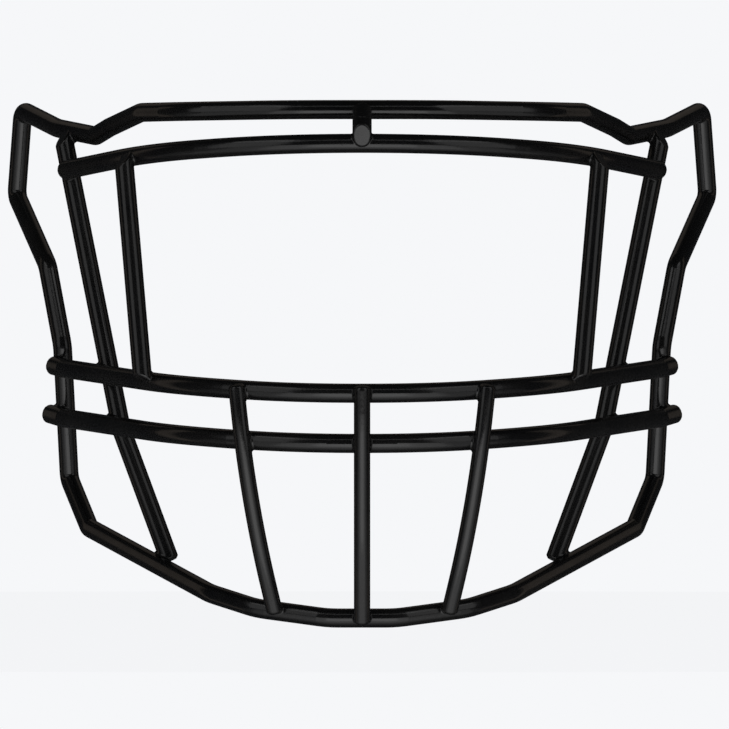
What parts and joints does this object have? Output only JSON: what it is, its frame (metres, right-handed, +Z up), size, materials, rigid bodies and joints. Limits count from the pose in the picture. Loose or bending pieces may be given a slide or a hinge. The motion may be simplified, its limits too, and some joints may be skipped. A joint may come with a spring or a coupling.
{
  "type": "football helmet face guard",
  "caption": "Welded wire face guard for a gridiron football helmet, with mid bars, brow bar, uprights and a black polymer skin.",
  "frame": {"origin": "bottom centre of the bounding box: on the plane of symmetry, level with the lowest point of the chin wire", "axes": "+X to the guard's right as a viewer facing it sees it, -Y out of the front, +Z up towards the forehead"},
  "size_m": [0.2634, 0.175, 0.1926],
  "materials": {
    "wire_steel": "bare drawn carbon steel under the skin",
    "black_skin": "black fluid-bed polymer coating, gloss with a faint orange peel"
  },
  "bodies": {
    "root": {"perimeter_wire_steel": "wire_steel", "lower_mid_bar_steel": "wire_steel", "upper_mid_bar_steel": "wire_steel", "brow_bar_steel": "wire_steel", "outer_vertical_left_steel": "wire_steel", "outer_vertical_right_steel": "wire_steel", "eye_vertical_left_steel": "wire_steel", "eye_vertical_right_steel": "wire_steel", "chin_vertical_left_steel": "wire_steel", "chin_vertical_right_steel": "wire_steel", "chin_vertical_centre_steel": "wire_steel", "brow_post_steel": "wire_steel", "perimeter_wire_skin": "black_skin", "lower_mid_bar_skin": "black_skin", "upper_mid_bar_skin": "black_skin", "brow_bar_skin": "black_skin", "outer_vertical_left_skin": "black_skin", "outer_vertical_right_skin": "black_skin", "eye_vertical_left_skin": "black_skin", "eye_vertical_right_skin": "black_skin", "chin_vertical_left_skin": "black_skin", "chin_vertical_right_skin": "black_skin", "chin_vertical_centre_skin": "black_skin", "brow_post_skin": "black_skin"}
  },
  "joints": []
}
